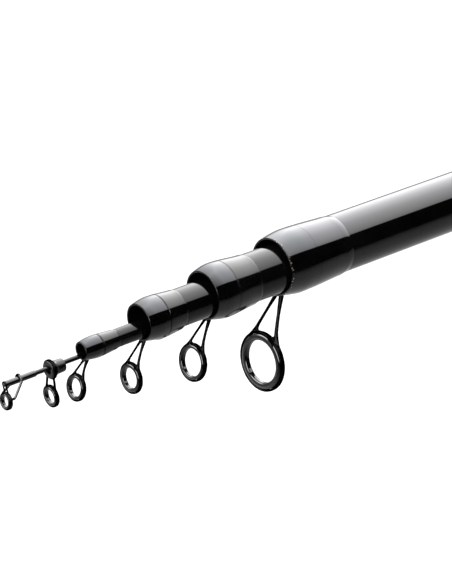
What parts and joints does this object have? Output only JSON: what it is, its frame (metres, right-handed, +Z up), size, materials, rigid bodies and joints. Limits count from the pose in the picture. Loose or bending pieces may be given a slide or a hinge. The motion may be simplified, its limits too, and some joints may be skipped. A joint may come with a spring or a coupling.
{
  "type": "telescopic fishing rod",
  "caption": "Telescopic fishing rod, shown closed: nested gloss black tubes that slide out, each with a leg-mounted ring guide at its mouth, a floating guide, a tip-top, grip and reel seat.",
  "frame": {"origin": "on the butt tube's axis, at the rear end of the rear grip's round wall", "axes": "+X from the butt to the tip along the butt tube, +Z up, the ring guides hang towards -Z"},
  "size_m": [0.9084, 0.0408, 0.0782],
  "materials": {
    "lacquer": "clear gloss lacquer over black fibre",
    "collar_lacquer": "thick gloss black lacquer",
    "whipping": "lacquered black thread",
    "frame_metal": "gloss black coated steel",
    "ceramic": "polished dark ceramic",
    "sleeve_plastic": "gloss black",
    "grip_rubber": "matte",
    "pad_rubber": "matte",
    "check_metal": "black anodised, satin",
    "seat_plastic": "satin",
    "cap_metal": "black anodised, satin"
  },
  "bodies": {
    "butt_section": {"butt_blank": "lacquer", "butt_end_collar": "collar_lacquer", "butt_whipping": "whipping", "butt_guide_frame": "frame_metal", "butt_guide_ring": "ceramic", "butt_ferrule": "cap_metal", "rear_grip": "grip_rubber", "rear_winding_check": "check_metal", "reel_seat_pipe": "seat_plastic", "fixed_hood": "seat_plastic", "fore_grip": "grip_rubber", "fore_winding_check": "check_metal"},
    "second_section": {"second_blank": "lacquer", "second_end_collar": "collar_lacquer", "second_whipping": "whipping", "second_guide_frame": "frame_metal", "second_guide_ring": "ceramic"},
    "third_section": {"third_blank": "lacquer", "third_end_collar": "collar_lacquer", "third_whipping": "whipping", "third_guide_frame": "frame_metal", "third_guide_ring": "ceramic"},
    "fourth_section": {"fourth_blank": "lacquer", "fourth_end_collar": "collar_lacquer", "fourth_whipping": "whipping", "fourth_guide_frame": "frame_metal", "fourth_guide_ring": "ceramic"},
    "tip_section": {"tip_blank": "lacquer", "tip_top_tube": "frame_metal", "tip_top_frame": "frame_metal", "tip_top_ring": "ceramic"},
    "float_guide": {"float_guide_sleeve": "sleeve_plastic", "float_guide_frame": "frame_metal", "float_guide_ring": "ceramic"},
    "moving_hood": {"moving_hood": "seat_plastic"},
    "lock_nut": {"lock_nut": "seat_plastic"},
    "cap_seal": {"cap_seal": "pad_rubber"},
    "butt_cap": {"butt_cap": "cap_metal", "butt_pad": "pad_rubber", "shock_pad": "pad_rubber"}
  },
  "joints": [
    {"name": "second_slide", "type": "slide", "parent": "butt_section", "child": "second_section", "axis": [1, 0, 0.001], "range_m": [0, 0.6727]},
    {"name": "third_slide", "type": "slide", "parent": "second_section", "child": "third_section", "axis": [1, 0, 0.0009], "range_m": [0, 0.7165]},
    {"name": "fourth_slide", "type": "slide", "parent": "third_section", "child": "fourth_section", "axis": [1, 0, 0.0008], "range_m": [0, 0.7603]},
    {"name": "tip_slide", "type": "slide", "parent": "fourth_section", "child": "tip_section", "axis": [1, 0, -0.0009], "range_m": [0, 0.7946]},
    {"name": "float_guide_slide", "type": "slide", "parent": "tip_section", "child": "float_guide", "axis": [1, 0, -0.0034], "range_m": [-0.0088, 0.0057]},
    {"name": "hood_slide", "type": "slide", "parent": "butt_section", "child": "moving_hood", "axis": [1, 0, 0], "range_m": [0, 0.028]},
    {"name": "nut_turn", "type": "hinge", "parent": "moving_hood", "child": "lock_nut", "pos_m": [0.28228, 0, 0], "axis": [1, 0, 0], "range_deg": [0, 3360]},
    {"name": "cap_slide", "type": "slide", "parent": "butt_section", "child": "cap_seal", "axis": [-1, 0, 0], "range_m": [0, 0.01]},
    {"name": "cap_turn", "type": "hinge", "parent": "cap_seal", "child": "butt_cap", "pos_m": [-0.0453, 0, 0], "axis": [-1, 0, 0], "range_deg": [0, 1800]}
  ],
  "couplings": [
    {"joint": "hood_slide", "follows": "nut_turn", "m_per_rad": 0.00047746},
    {"joint": "cap_slide", "follows": "cap_turn", "m_per_rad": 0.00031831}
  ]
}
